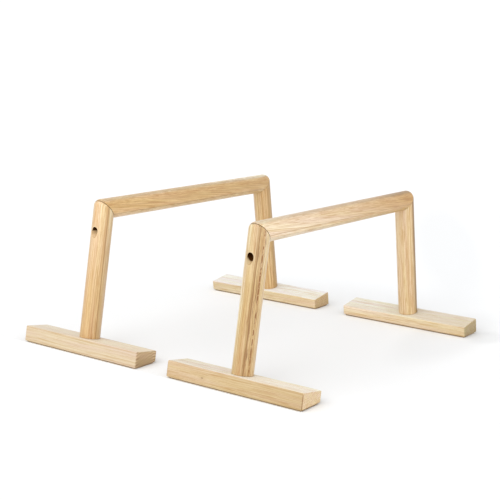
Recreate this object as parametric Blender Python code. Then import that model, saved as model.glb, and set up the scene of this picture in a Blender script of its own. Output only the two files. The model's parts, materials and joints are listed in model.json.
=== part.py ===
"""A pair of free-standing wooden parallettes: two mitred round bars on splayed uprights and block feet.

Metres, +Z up. The origin is on the floor, midway between the two bars. +X runs along the handles towards
the rear, and +Y points at the left bar. Each bar hangs on its own empty, so that either can be moved alone.

Every end of a bar is the same set of pieces, modelled once in the end's own frame: its origin is where the
handle's axis meets the upright's axis, local Z points up along the upright and local X points outward.
The front end is the rear end turned half a turn about Z, and the right bar repeats the left one.
"""

import math

import bmesh
import bpy
from mathutils import Matrix, Vector

# Driving dimensions
BAR_D = 0.040  # the round bar of the handle and the uprights
CROSSING_SPAN = 0.517  # between the crossings of the handle's axis with the uprights' axes
HANDLE_HEIGHT = 0.274  # the handle's axis above the feet's underside
SPLAY = math.radians(9.4)  # each upright leans in from its foot by this much
FOOT_LENGTH = 0.296
FOOT_WIDTH = 0.057
FOOT_THICKNESS = 0.026  # on the upright's axis
BAR_SPACING = 0.371  # between the two handles' axes
PAD_THICKNESS = 0.002
PAD_INSET = 0.003
PAD_CORNER_R = 0.003
JOINT_GAP = 0.0003  # left between two pieces that are glued or seated on each other

# Finished edges
CORNER_RADIUS = 0.011  # the outer corner of each mitre is sanded round
FOOT_ARRIS = 0.0025

# Fasteners
SCREW_R = 0.003
SCREW_CORE_R = 0.0020
SCREW_NECK_R = 0.0024  # the plain shank under the head
SCREW_PITCH = 0.0032
SCREW_CLEARANCE_R = 0.0034  # bore around a plain shank
SCREW_THREAD_BORE_R = 0.0032  # bore around the thread
SCREW_TIP = 0.006
THREAD_LEAD = 0.3  # turns of plain core on either side of the thread
WASHER_HEAD_R = 0.0052
WASHER_HEAD_H = 0.0032
WASHER_HEAD_RIM_H = 0.0022  # above the seat, where the head's crown starts to narrow
WASHER_HEAD_CROWN_R = 0.0047
SUNK_HEAD_R = 0.0058
SUNK_HEAD_H = 0.0036
SUNK_HEAD_FACE_R = 0.0056
SUNK_HEAD_RIM_H = 0.0005
HEX_R = 0.0025  # corner radius of the hexagon socket
HEX_DEPTH = 0.0018
MITRE_SCREW_LENGTH = 0.055
MITRE_SCREW_SHANK = 0.019
FOOT_SCREW_LENGTH = 0.070
FOOT_SCREW_SHANK = 0.024
POCKET_R = 0.0072
POCKET_DROP = 0.047  # from the crossing down the upright to the pocket's mouth
POCKET_DEPTH = 0.028
SUNK_BORE_R = 0.0065
SUNK_BORE_DEPTH = 0.006
DOWEL_R = 0.004
DOWEL_FLUTE = 0.00025
DOWEL_LENGTH = 0.026
DOWEL_CHAMFER = 0.001
DOWEL_BORE_R = 0.00425
DOWEL_BORE_SPARE = 0.001  # each bore is this much deeper than the dowel needs
MITRE_DOWEL_OFFSET = 0.006  # from the crossing towards the mitre's outer corner
FOOT_DOWEL_OFFSET = 0.012  # from the upright's axis towards the bar's middle

# Facets
BAR_SIDES = 40
CORNER_STEPS = 4
FOOT_ARRIS_STEPS = 2
BORE_SIDES = 24
SCREW_SIDES = 12
DOWEL_SIDES = 16
SHARP_ANGLE = math.radians(30)  # edges that turn further than this are shaded sharp
MERGE_DISTANCE = 1e-6

# Finishes: colour, roughness, metallic
FINISHES = {
    "handle": ((0.72, 0.52, 0.33), 0.50, 0.0),
    "upright": ((0.74, 0.55, 0.36), 0.50, 0.0),
    "foot": ((0.84, 0.70, 0.50), 0.52, 0.0),
    "dowel": ((0.78, 0.62, 0.42), 0.65, 0.0),
    "screw": ((0.62, 0.62, 0.60), 0.32, 1.0),
    "pad": ((0.34, 0.25, 0.16), 0.90, 0.0),
}

# Worked out from the dimensions above
BAR_R = BAR_D / 2
MITRE_ANGLE = math.pi / 4 + SPLAY / 2  # between a bar's axis and the mitre's plane
HANDLE_Z = PAD_THICKNESS + JOINT_GAP + HANDLE_HEIGHT
FOOT_TOP = FOOT_THICKNESS - HANDLE_HEIGHT / math.cos(SPLAY)  # local Z of the foot's top face

# Directions and points in an end's local frame
HANDLEWARD = Vector((-math.cos(SPLAY), 0, math.sin(SPLAY)))
TO_INNER_CORNER = (HANDLEWARD + Vector((0, 0, -1))).normalized()
MITRE_NORMAL = Vector((TO_INNER_CORNER.z, 0, -TO_INNER_CORNER.x))  # out of the upright, into the handle
POCKET_MOUTH = Vector((BAR_R, 0, -POCKET_DROP))
MITRE_SCREW_SEAT = POCKET_MOUTH + MITRE_NORMAL * POCKET_DEPTH
MITRE_DOWEL_CENTRE = TO_INNER_CORNER * -MITRE_DOWEL_OFFSET
FOOT_SCREW_SEAT = Vector((0, 0, FOOT_TOP - FOOT_THICKNESS + SUNK_BORE_DEPTH))
FOOT_DOWEL_CENTRE = Vector((-FOOT_DOWEL_OFFSET, 0, FOOT_TOP))


def clear_scene():
    for obj in list(bpy.data.objects):
        bpy.data.objects.remove(obj)


# Meshes


def mesh_from(name, bm):
    """Turn a bmesh into a mesh that is shaded smooth, with sharp edges kept."""
    bmesh.ops.remove_doubles(bm, verts=bm.verts, dist=MERGE_DISTANCE)
    bmesh.ops.recalc_face_normals(bm, faces=bm.faces)
    mesh = bpy.data.meshes.new(name)
    bm.to_mesh(mesh)
    bm.free()
    mesh.shade_smooth()
    mesh.set_sharp_from_angle(angle=SHARP_ANGLE)
    return mesh


def skin(rings):
    """A closed body over rings of equal length, with a flat face on the first and on the last."""
    bm = bmesh.new()
    loops = [[bm.verts.new(point) for point in ring] for ring in rings]
    count = len(rings[0])
    for low, high in zip(loops, loops[1:]):
        for i in range(count):
            j = (i + 1) % count
            bm.faces.new((low[i], low[j], high[j], high[i]))
    bm.faces.new(loops[0])
    bm.faces.new(loops[-1])
    return bm


def ring(radius, z, sides, shape=None):
    """A ring about Z. shape(i) scales the radius of point i."""
    points = []
    for i in range(sides):
        angle = math.tau * i / sides
        r = radius * (shape(i) if shape else 1)
        points.append(Vector((r * math.cos(angle), r * math.sin(angle), z)))
    return points


def turned(profile, sides):
    """A closed body turned about Z from (radius, z) pairs."""
    return skin([ring(radius, z, sides) for radius, z in profile])


def hexagon(sides):
    """Scales a ring's radius so that the ring becomes a hexagon with its corners at full radius."""

    def scale(i):
        turn = math.tau * i / sides
        return math.cos(math.pi / 6) / math.cos(turn % (math.pi / 3) - math.pi / 6)

    return scale


def mitre_profile(offset):
    """(run, offset) pairs where a line of the bar's surface meets the mitre.

    offset is the line's distance from the axis towards the outer corner, and run is measured along the axis
    from the crossing. The outer lines turn through an arc before they reach the mitre's plane.
    """
    radius = CORNER_RADIUS * max(0.0, offset / BAR_R)
    start = (offset - radius) / math.tan(MITRE_ANGLE)
    start -= JOINT_GAP / 2 / math.sin(MITRE_ANGLE)
    points = []
    for step in range(CORNER_STEPS + 1):
        angle = (math.pi / 2 - MITRE_ANGLE) * step / CORNER_STEPS
        points.append((start + radius * math.sin(angle), offset - radius * (1 - math.cos(angle))))
    return points


def bar_lines(column):
    """A bar's body from one column of points for each line of its surface."""
    columns = []
    for i in range(BAR_SIDES):
        angle = math.tau * i / BAR_SIDES
        columns.append(column(BAR_R * math.cos(angle), BAR_R * math.sin(angle)))
    return skin([list(level) for level in zip(*columns)])


def upright_blank():
    """The upright before boring, in the end's frame."""
    bottom = FOOT_TOP + JOINT_GAP

    def column(offset, across):
        points = [Vector((offset, across, bottom))]
        points += [Vector((out, across, run)) for run, out in mitre_profile(offset)]
        return points

    return mesh_from("upright", bar_lines(column))


def handle_blank():
    """The handle before boring, along X about its own middle."""
    half = CROSSING_SPAN / 2

    def column(offset, across):
        end = [(half + run, out) for run, out in mitre_profile(offset)]
        points = [Vector((-run, across, out)) for run, out in reversed(end)]
        points += [Vector((run, across, out)) for run, out in end]
        return points

    return mesh_from("handle", bar_lines(column))


def foot_underside(out):
    """Local Z of a foot's underside, which lies level, at a distance out from the upright's axis."""
    return FOOT_TOP - FOOT_THICKNESS - out * math.tan(SPLAY)


def foot_blank():
    """The foot before boring: a block square to the upright, with its underside cut to lie on the floor."""
    half = FOOT_WIDTH / 2
    inner_side = [(-half, foot_underside(-half)), (-half, FOOT_TOP)]
    outer_side = [(half, FOOT_TOP), (half, foot_underside(half))]
    bm = bmesh.new()
    face = bm.faces.new([bm.verts.new((x, -FOOT_LENGTH / 2, z)) for x, z in inner_side + outer_side])
    swept = bmesh.ops.extrude_face_region(bm, geom=[face])["geom"]
    moved = [item for item in swept if isinstance(item, bmesh.types.BMVert)]
    bmesh.ops.translate(bm, verts=moved, vec=(0, FOOT_LENGTH, 0))
    edges = bm.edges[:]
    bmesh.ops.bevel(bm, geom=edges, offset=FOOT_ARRIS, segments=FOOT_ARRIS_STEPS, profile=0.5, affect="EDGES")
    return mesh_from("foot", bm)


def pad_mesh():
    """The thin strip under a foot, about the middle of its own underside."""
    length = FOOT_LENGTH - 2 * PAD_INSET
    width = FOOT_WIDTH / math.cos(SPLAY) - 2 * PAD_INSET
    bm = bmesh.new()
    bmesh.ops.create_cube(bm, size=1)
    bmesh.ops.scale(bm, verts=bm.verts, vec=(width, length, PAD_THICKNESS))
    bmesh.ops.translate(bm, verts=bm.verts, vec=(0, 0, PAD_THICKNESS / 2))
    corners = [e for e in bm.edges if abs(e.verts[0].co.z - e.verts[1].co.z) > PAD_THICKNESS / 2]
    bmesh.ops.bevel(bm, geom=corners, offset=PAD_CORNER_R, segments=CORNER_STEPS, profile=0.5, affect="EDGES")
    return mesh_from("grip_pad", bm)


def add_thread(bm, below, start, turns):
    """Wind a thread on from the ring below, and return the ring that closes it.

    The core and the crest are two strands of one helix. The crest rises out of the core over the first turn
    and sinks into it over the last, so both ends close on a plain ring.
    """
    sides = len(below)
    last = (turns - 1) * sides

    def strand(count, lift, extra):
        verts = []
        for i in range(count + 1):
            angle = math.tau * i / sides
            r = SCREW_CORE_R + extra * max(0.0, min(1.0, i / sides, (last - i) / sides))
            z = start + SCREW_PITCH * (i / sides + lift)
            verts.append(bm.verts.new((r * math.cos(angle), r * math.sin(angle), z)))
        return verts

    core = strand(turns * sides, 0, 0)
    crest = strand(last, 0.5, SCREW_R - SCREW_CORE_R)
    top = start + SCREW_PITCH * (turns + THREAD_LEAD)
    above = [bm.verts.new(point) for point in ring(SCREW_CORE_R, top, sides)]
    for i in range(last):
        bm.faces.new((core[i], core[i + 1], crest[i + 1], crest[i]))
        bm.faces.new((crest[i], crest[i + 1], core[i + 1 + sides], core[i + sides]))
    for i in range(sides - 1):
        bm.faces.new((below[i], below[i + 1], core[i + 1], core[i]))
    bm.faces.new((below[-1], below[0], core[0], crest[0], core[sides], core[sides - 1]))
    bm.faces.new((core[last], core[last + 1], above[1], above[0], core[last + sides], crest[last]))
    for i in range(1, sides - 1):
        bm.faces.new((core[last + i], core[last + i + 1], above[i + 1], above[i]))
    bm.faces.new((core[last + sides - 1], core[last + sides], above[0], above[-1]))
    return above


def screw_mesh(name, head, shank, length):
    """A wood screw with its seat at the origin and its tip along +Z.

    head lists (radius, z) from the top of the head down to the shank.
    """
    sides = SCREW_SIDES
    bm = bmesh.new()
    top = head[0][1]
    rings = [
        ring(HEX_R, top + HEX_DEPTH, sides, hexagon(sides)),
        ring(HEX_R, top, sides, hexagon(sides)),
    ]
    rings += [ring(radius, z, sides) for radius, z in head]
    rings.append(ring(SCREW_NECK_R, shank, sides))
    loops = [[bm.verts.new(point) for point in points] for points in rings]
    for low, high in zip(loops, loops[1:]):
        for i in range(sides):
            j = (i + 1) % sides
            bm.faces.new((low[i], low[j], high[j], high[i]))
    bm.faces.new(loops[0])
    thread_start = shank + SCREW_PITCH * THREAD_LEAD
    turns = int((length - SCREW_TIP - thread_start) / SCREW_PITCH - THREAD_LEAD)
    above = add_thread(bm, loops[-1], thread_start, turns)
    tip = bm.verts.new((0, 0, length))
    for i in range(sides):
        bm.faces.new((above[i], above[(i + 1) % sides], tip))
    return mesh_from(name, bm)


def mitre_screw_mesh():
    head = [
        (WASHER_HEAD_CROWN_R, -WASHER_HEAD_H),
        (WASHER_HEAD_R, -WASHER_HEAD_RIM_H),
        (WASHER_HEAD_R, 0),
        (SCREW_NECK_R, 0),
    ]
    return screw_mesh("mitre_screw", head, MITRE_SCREW_SHANK, MITRE_SCREW_LENGTH)


def foot_screw_mesh():
    head = [(SUNK_HEAD_FACE_R, 0), (SUNK_HEAD_R, SUNK_HEAD_RIM_H), (SCREW_NECK_R, SUNK_HEAD_H)]
    return screw_mesh("foot_screw", head, FOOT_SCREW_SHANK, FOOT_SCREW_LENGTH)


def dowel_mesh():
    """A fluted dowel about its own middle, along Z."""
    half = DOWEL_LENGTH / 2

    def fluted(i):
        return 1 - (i % 2) * DOWEL_FLUTE / DOWEL_R

    narrow = DOWEL_R - DOWEL_CHAMFER
    rings = [ring(narrow, -half, DOWEL_SIDES)]
    rings += [ring(DOWEL_R, z, DOWEL_SIDES, fluted) for z in (DOWEL_CHAMFER - half, half - DOWEL_CHAMFER)]
    rings.append(ring(narrow, half, DOWEL_SIDES))
    return mesh_from("dowel", skin(rings))


# Bores, each a cutter in the end's frame


def along(axis, origin):
    """A frame at origin whose Z is axis."""
    turn = Vector((0, 0, 1)).rotation_difference(axis)
    return Matrix.Translation(origin) @ turn.to_matrix().to_4x4()


def mitre_screw_place():
    return along(MITRE_NORMAL, MITRE_SCREW_SEAT)


def mitre_dowel_place():
    return along(MITRE_NORMAL, MITRE_DOWEL_CENTRE)


def foot_screw_place():
    return Matrix.Translation(FOOT_SCREW_SEAT)


def foot_dowel_place():
    return Matrix.Translation(FOOT_DOWEL_CENTRE)


def pocket_cutter():
    """From outside the upright to the head's seat, then the clearance bore out through the mitre."""
    profile = [
        (POCKET_R, -2 * POCKET_DEPTH),
        (POCKET_R, JOINT_GAP),
        (SCREW_CLEARANCE_R, JOINT_GAP),
        (SCREW_CLEARANCE_R, MITRE_SCREW_LENGTH / 2),
    ]
    return turned(profile, BORE_SIDES), mitre_screw_place()


def thread_cutter(length, place):
    """The bore that a screw of this length cuts its thread in, drawn in to a point past the screw's tip."""
    profile = [
        (SCREW_THREAD_BORE_R, 0),
        (SCREW_THREAD_BORE_R, length - SCREW_TIP / 2),
        (SCREW_THREAD_BORE_R / 4, length + SCREW_TIP / 6),
    ]
    return turned(profile, BORE_SIDES), place


def dowel_cutter(place):
    reach = DOWEL_LENGTH / 2 + DOWEL_BORE_SPARE
    return turned([(DOWEL_BORE_R, -reach), (DOWEL_BORE_R, reach)], BORE_SIDES), place


def foot_screw_cutter():
    """The sunk bore in the foot's underside, its countersink and the clearance bore through the top."""
    profile = [
        (SUNK_BORE_R, -2 * SUNK_BORE_DEPTH),
        (SUNK_BORE_R, JOINT_GAP),
        (SCREW_CLEARANCE_R, SUNK_HEAD_H + JOINT_GAP),
        (SCREW_CLEARANCE_R, 2 * FOOT_THICKNESS),
    ]
    return turned(profile, BORE_SIDES), foot_screw_place()


def bored(mesh, cutters):
    """Cut (bmesh, placement) cutters out of a mesh, and return the finished mesh."""
    blank = bpy.data.objects.new("blank", mesh)
    bpy.context.scene.collection.objects.link(blank)
    tools = []
    for bm, place in cutters:
        tool = bpy.data.objects.new("cutter", mesh_from("cutter", bm))
        tool.matrix_world = place
        bpy.context.scene.collection.objects.link(tool)
        cut = blank.modifiers.new("bore", "BOOLEAN")
        cut.operation = "DIFFERENCE"
        cut.solver = "EXACT"
        cut.object = tool
        tools.append(tool)
    bpy.context.view_layer.update()
    evaluated = blank.evaluated_get(bpy.context.evaluated_depsgraph_get())
    finished = bpy.data.meshes.new_from_object(evaluated)
    finished.name = mesh.name
    finished.shade_smooth()
    finished.set_sharp_from_angle(angle=SHARP_ANGLE)
    for obj in [blank] + tools:
        bpy.data.objects.remove(obj)
    return finished


def make_meshes():
    """One finished mesh for each kind of piece, except the handle, in the end's frame."""
    upright_bores = [
        pocket_cutter(),
        dowel_cutter(mitre_dowel_place()),
        thread_cutter(FOOT_SCREW_LENGTH, foot_screw_place()),
        dowel_cutter(foot_dowel_place()),
    ]
    foot_bores = [foot_screw_cutter(), dowel_cutter(foot_dowel_place())]
    handle_bores = []
    for turned_round in (False, True):
        to_handle = Matrix.Translation((0, 0, -HANDLE_Z)) @ end_place(turned_round)
        handle_bores.append(thread_cutter(MITRE_SCREW_LENGTH, to_handle @ mitre_screw_place()))
        handle_bores.append(dowel_cutter(to_handle @ mitre_dowel_place()))
    return {
        "upright": bored(upright_blank(), upright_bores),
        "foot": bored(foot_blank(), foot_bores),
        "handle": bored(handle_blank(), handle_bores),
        "grip_pad": pad_mesh(),
        "mitre_screw": mitre_screw_mesh(),
        "foot_screw": foot_screw_mesh(),
        "dowel": dowel_mesh(),
    }


# Assembly


def end_place(turned_round):
    """An end's frame in its bar's frame: the rear end, or the same end turned round to the front."""
    lean = Matrix.Rotation(-SPLAY, 4, "Y")
    rear = Matrix.Translation((CROSSING_SPAN / 2, 0, HANDLE_Z)) @ lean
    return Matrix.Rotation(math.pi, 4, "Z") @ rear if turned_round else rear


def pad_place(end):
    """Under the middle of the foot's underside, on the floor."""
    middle = end @ Vector((0, 0, FOOT_TOP - FOOT_THICKNESS))
    return Matrix.Translation((middle.x, middle.y, 0))


def material(name, finish):
    colour, roughness, metallic = FINISHES[finish]
    mat = bpy.data.materials.new(name)
    mat.use_nodes = True
    shader = mat.node_tree.nodes["Principled BSDF"]
    shader.inputs["Base Color"].default_value = (*colour, 1)
    shader.inputs["Roughness"].default_value = roughness
    shader.inputs["Metallic"].default_value = metallic
    return mat


def add_piece(name, mesh, finish, parent, place):
    """One named piece with its own material, placed in its parent's frame."""
    obj = bpy.data.objects.new(name, mesh.copy())
    obj.data.name = name
    obj.data.materials.clear()
    obj.data.materials.append(material(name, finish))
    obj.parent = parent
    obj.matrix_local = place
    bpy.context.scene.collection.objects.link(obj)
    return obj


def add_end(side, end_name, parent, end, meshes):
    """An upright on its foot with everything that fastens it."""
    stem = f"{side}_{end_name}"
    add_piece(f"{stem}_upright", meshes["upright"], "upright", parent, end)
    add_piece(f"{stem}_foot", meshes["foot"], "foot", parent, end)
    add_piece(f"{stem}_grip_pad", meshes["grip_pad"], "pad", parent, pad_place(end))
    add_piece(f"{stem}_mitre_screw", meshes["mitre_screw"], "screw", parent, end @ mitre_screw_place())
    add_piece(f"{stem}_mitre_dowel", meshes["dowel"], "dowel", parent, end @ mitre_dowel_place())
    add_piece(f"{stem}_foot_screw", meshes["foot_screw"], "screw", parent, end @ foot_screw_place())
    add_piece(f"{stem}_foot_dowel", meshes["dowel"], "dowel", parent, end @ foot_dowel_place())


def add_bar(side, across, meshes):
    """One complete bar on an empty, across metres from the middle of the pair."""
    base = bpy.data.objects.new(f"{side}_bar", None)
    base.location = (0, across, 0)
    bpy.context.scene.collection.objects.link(base)
    add_piece(f"{side}_handle", meshes["handle"], "handle", base, Matrix.Translation((0, 0, HANDLE_Z)))
    add_end(side, "rear", base, end_place(False), meshes)
    add_end(side, "front", base, end_place(True), meshes)


def main():
    clear_scene()
    meshes = make_meshes()
    add_bar("left", BAR_SPACING / 2, meshes)
    add_bar("right", -BAR_SPACING / 2, meshes)
    bpy.context.view_layer.update()


main()
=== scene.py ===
"""Looks for a pair of wooden parallettes: fine meshes, procedural wood, a white studio and the camera.

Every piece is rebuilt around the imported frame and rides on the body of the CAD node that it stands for. As in
the CAD, the pieces of an end are modelled once in the end's own frame: its origin is where the handle's axis
meets the upright's axis, local Z points up along the upright and local X points outward.
"""

import json
import math

import bmesh
import bpy
from mathutils import Matrix, Vector


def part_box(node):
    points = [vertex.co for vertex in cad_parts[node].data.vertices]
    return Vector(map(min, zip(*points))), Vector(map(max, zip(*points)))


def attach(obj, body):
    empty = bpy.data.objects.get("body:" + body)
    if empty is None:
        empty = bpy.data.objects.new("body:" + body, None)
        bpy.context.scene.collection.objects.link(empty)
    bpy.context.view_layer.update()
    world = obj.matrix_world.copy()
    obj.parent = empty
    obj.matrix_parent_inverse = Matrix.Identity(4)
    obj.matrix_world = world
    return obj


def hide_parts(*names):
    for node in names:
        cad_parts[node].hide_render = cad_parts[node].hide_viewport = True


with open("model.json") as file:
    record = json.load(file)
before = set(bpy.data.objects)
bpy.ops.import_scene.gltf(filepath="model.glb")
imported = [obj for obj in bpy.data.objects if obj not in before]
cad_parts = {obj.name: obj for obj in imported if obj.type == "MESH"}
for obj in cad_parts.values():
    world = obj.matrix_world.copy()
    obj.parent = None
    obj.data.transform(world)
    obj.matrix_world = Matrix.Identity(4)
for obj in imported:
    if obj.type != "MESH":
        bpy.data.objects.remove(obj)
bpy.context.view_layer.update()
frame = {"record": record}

SIDES = ("left", "right")
ENDS = ("front", "rear")

# Sizes that the frame's boxes give
HANDLE_LOW, HANDLE_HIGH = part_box("left_handle")
FOOT_LOW, FOOT_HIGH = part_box("left_rear_foot")
PAD_LOW, PAD_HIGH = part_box("left_rear_grip_pad")
BAR_R = (HANDLE_HIGH.z - HANDLE_LOW.z) / 2
HANDLE_Z = (HANDLE_HIGH.z + HANDLE_LOW.z) / 2
BAR_Y = {side: sum(corner.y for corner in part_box(f"{side}_handle")) / 2 for side in SIDES}
SIDE_PLACE = {side: Matrix.Translation((0, y, 0)) for side, y in BAR_Y.items()}
FOOT_LENGTH = FOOT_HIGH.y - FOOT_LOW.y
HANDLE_HEIGHT = HANDLE_Z - FOOT_LOW.z
PAD_SIZE = PAD_HIGH - PAD_LOW
PAD_X = (PAD_HIGH.x + PAD_LOW.x) / 2

# Sizes that it shares with the CAD
SPLAY = math.radians(9.4)
FOOT_WIDTH = 0.057
FOOT_THICKNESS = 0.026
JOINT_GAP = 0.0003
CORNER_RADIUS = 0.011
POCKET_R = 0.0072
POCKET_DROP = 0.047
POCKET_DEPTH = 0.028
PAD_CORNER_R = 0.003
CROSSING_X = PAD_X - HANDLE_HEIGHT * math.tan(SPLAY)
MITRE_ANGLE = math.pi / 4 + SPLAY / 2
FOOT_TOP = FOOT_THICKNESS - HANDLE_HEIGHT / math.cos(SPLAY)

# Fasteners, as in the CAD
SCREW_R = 0.003
SCREW_CORE_R = 0.0020
SCREW_NECK_R = 0.0024
SCREW_PITCH = 0.0032
SCREW_CLEARANCE_R = 0.0034
SCREW_THREAD_BORE_R = 0.0032
SCREW_TIP = 0.006
THREAD_LEAD = 0.3  # turns of plain core on either side of the thread
WASHER_HEAD_R = 0.0052
WASHER_HEAD_H = 0.0032
WASHER_HEAD_CROWN = ((0.80, 1.0), (0.90, 0.92), (0.97, 0.78), (1.0, 0.55))  # shares of its radius and height
SUNK_HEAD_R = 0.0058
SUNK_HEAD_H = 0.0036
SUNK_HEAD_RIM = ((0.94, 0.0), (0.99, 0.0001), (1.0, 0.0004))  # shares of its radius, at depths below its face
HEX_R = 0.0025
HEX_DEPTH = 0.0018
MITRE_SCREW_LENGTH = 0.055
MITRE_SCREW_SHANK = 0.019
FOOT_SCREW_LENGTH = 0.070
FOOT_SCREW_SHANK = 0.024
SUNK_BORE_R = 0.0065
SUNK_BORE_DEPTH = 0.006
DOWEL_R = 0.004
DOWEL_FLUTE = 0.00025
DOWEL_LENGTH = 0.026
DOWEL_CHAMFER = 0.001
DOWEL_BORE_R = 0.00425
DOWEL_BORE_SPARE = 0.001
MITRE_DOWEL_OFFSET = 0.006
FOOT_DOWEL_OFFSET = 0.012

# Finished edges
MITRE_EASE = {"front": 0.00045, "rear": 0.00005}  # of each mitre, open at the front so that it shows
FOOT_ARRIS = 0.0025
UPRIGHT_EASE = 0.0004
PAD_ROUND = 0.0006

# Directions in an end's frame
HANDLEWARD = Vector((-math.cos(SPLAY), 0, math.sin(SPLAY)))
TO_INNER_CORNER = (HANDLEWARD + Vector((0, 0, -1))).normalized()
MITRE_NORMAL = Vector((TO_INNER_CORNER.z, 0, -TO_INNER_CORNER.x))
MITRE_SCREW_SEAT = Vector((BAR_R, 0, -POCKET_DROP)) + MITRE_NORMAL * POCKET_DEPTH
MITRE_DOWEL_CENTRE = TO_INNER_CORNER * -MITRE_DOWEL_OFFSET
FOOT_SCREW_SEAT = Vector((0, 0, FOOT_TOP - FOOT_THICKNESS + SUNK_BORE_DEPTH))
FOOT_DOWEL_CENTRE = Vector((-FOOT_DOWEL_OFFSET, 0, FOOT_TOP))

# The highest point of an upright, where its outer line meets the mitre
UPRIGHT_TOP = (BAR_R - CORNER_RADIUS) / math.tan(MITRE_ANGLE) + CORNER_RADIUS * math.cos(MITRE_ANGLE)
SHARP_ANGLE = math.radians(35)
CUT_FACING = (0.3125, 0.9375)  # how far a cut end faces along the grain where it begins, and where it is full

# Facets
BAR_SIDES = 144
BORE_SIDES = 64
SCREW_SIDES = 36
DOWEL_SIDES = 72
DOWEL_FLUTES = 12
CORNER_STEP = 0.0007
RING_STEP = 0.015
FOOT_ARRIS_STEPS = 4
PAD_CORNER_STEPS = 8
PAD_RIM_STEPS = 3

# What a face of a blank belongs to, kept as its material index until mark_grain
OUTSIDE_FACE, BORE_FACE, SEAM_FACE = range(3)
END_FACES = 2  # the flat faces that close a skin


# Meshes


def add_object(name, data):
    made = bpy.data.objects.new(name, data)
    bpy.context.scene.collection.objects.link(made)
    return made


def end_place(end):
    """An end's frame in its bar's frame: the rear end, or the same end turned round to the front."""
    rear = Matrix.Translation((CROSSING_X, 0, HANDLE_Z)) @ Matrix.Rotation(-SPLAY, 4, "Y")
    return Matrix.Rotation(math.pi, 4, "Z") @ rear if end == "front" else rear


def along(axis, origin):
    """A frame at origin whose Z is axis."""
    turn = Vector((0, 0, 1)).rotation_difference(axis)
    return Matrix.Translation(origin) @ turn.to_matrix().to_4x4()


def ring(radius, z, sides, shape=None):
    """A ring about Z. shape(i) scales the radius of point i."""
    points = []
    for i in range(sides):
        angle = math.tau * i / sides
        r = radius * (shape(i) if shape else 1)
        points.append(Vector((r * math.cos(angle), r * math.sin(angle), z)))
    return points


def add_sleeve(bm, rings):
    """Strips of faces from each ring to the next. Returns the rings' corners."""
    loops = [[bm.verts.new(point) for point in points] for points in rings]
    count = len(rings[0])
    for low, high in zip(loops, loops[1:]):
        for i in range(count):
            j = (i + 1) % count
            bm.faces.new((low[i], low[j], high[j], high[i]))
    return loops


def skin(rings):
    """A closed body over rings of equal length, with a flat face on the first and on the last."""
    bm = bmesh.new()
    loops = add_sleeve(bm, rings)
    bm.faces.new(loops[0])
    bm.faces.new(loops[-1])
    return bm


def mesh_from(name, bm):
    bmesh.ops.recalc_face_normals(bm, faces=bm.faces)
    mesh = bpy.data.meshes.new(name)
    bm.to_mesh(mesh)
    bm.free()
    return mesh


def ease_edges(bm, edges, radius, steps):
    bmesh.ops.bevel(bm, geom=edges, offset=radius, segments=steps, profile=0.5, affect="EDGES")


def surface_point(offset, across, back):
    """A point on the bar, back metres short of the mitre's plane along a line of the surface.

    Returns (run along the axis from the crossing, out towards the outer corner, across). The line lies offset
    out and across sideways from the axis, and the outer lines turn through an arc before the mitre.
    """
    radius = CORNER_RADIUS * max(0.0, offset / BAR_R)
    turn = math.pi / 2 - MITRE_ANGLE
    arc = radius * turn
    start = (offset - radius) / math.tan(MITRE_ANGLE) - JOINT_GAP / 2 / math.sin(MITRE_ANGLE)
    if back < arc:
        angle = turn - back / radius
        return Vector((start + radius * math.sin(angle), offset - radius * (1 - math.cos(angle)), across))
    return Vector((start - (back - arc), offset, across))


def mitre_rings(ease):
    """Rings of surface points that run up to the mitre, and one eased inward on its plane."""
    reach = CORNER_RADIUS * (math.pi / 2 - MITRE_ANGLE) + CORNER_STEP
    backs = []
    back = ease
    while back < reach:
        backs.insert(0, back)
        back += CORNER_STEP
    rings = []
    for back in backs:
        rings.append([surface_point(out, across, back) for out, across in bar_outline()])
    edge = [surface_point(out, across, 0) for out, across in bar_outline()]
    rings.append([point - point.normalized() * ease for point in edge])
    return rings


def bar_outline():
    """(out, across) of every line of the bar's surface."""
    outline = []
    for i in range(BAR_SIDES):
        angle = math.tau * i / BAR_SIDES
        outline.append((BAR_R * math.cos(angle), BAR_R * math.sin(angle)))
    return outline


def straight_rings(start, stop):
    """Plain rings between two places on the axis, both left out."""
    count = max(1, round((stop - start) / RING_STEP))
    rings = []
    for step in range(1, count):
        run = start + (stop - start) * step / count
        rings.append([Vector((run, out, across)) for out, across in bar_outline()])
    return rings


def mark_seam(mesh, both_ends=False):
    """Mark a bar's last strip of faces as a mitre's eased edge, and with both_ends its first strip too."""
    sides = mesh.polygons[:-END_FACES]
    for face in sides[-BAR_SIDES:] + (sides[:BAR_SIDES] if both_ends else []):
        face.material_index = SEAM_FACE
    return mesh


def upright_blank(ease):
    """The upright before boring: run becomes Z and out becomes X."""
    bottom = FOOT_TOP + JOINT_GAP
    top = mitre_rings(ease)
    shrunk = 1 - UPRIGHT_EASE / BAR_R
    foot = [Vector((bottom, out * shrunk, across * shrunk)) for out, across in bar_outline()]
    eased = [Vector((bottom + UPRIGHT_EASE, out, across)) for out, across in bar_outline()]
    rings = [foot, eased] + straight_rings(bottom, min(point.x for point in top[0])) + top
    mesh = mesh_from("upright", skin([[Vector((p.y, p.z, p.x)) for p in points] for points in rings]))
    return mark_seam(mesh)


def handle_blank():
    """The handle along X about its own middle: out becomes Z and across becomes Y."""
    front = mitre_rings(MITRE_EASE["front"])
    rear = mitre_rings(MITRE_EASE["rear"])
    for rings in (front, rear):
        for points in rings:
            for point in points:
                point.x += CROSSING_X
    reach = min(point.x for point in rear[0])
    rings = [[Vector((-p.x, p.y, p.z)) for p in points] for points in reversed(front)]
    rings += straight_rings(-reach, reach) + rear
    mesh = mesh_from("handle", skin([[Vector((p.x, p.z, p.y)) for p in points] for points in rings]))
    return mark_seam(mesh, both_ends=True)


def foot_underside(out):
    """Local Z of a foot's underside, which lies level, at a distance out from the upright's axis."""
    return FOOT_TOP - FOOT_THICKNESS - out * math.tan(SPLAY)


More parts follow.
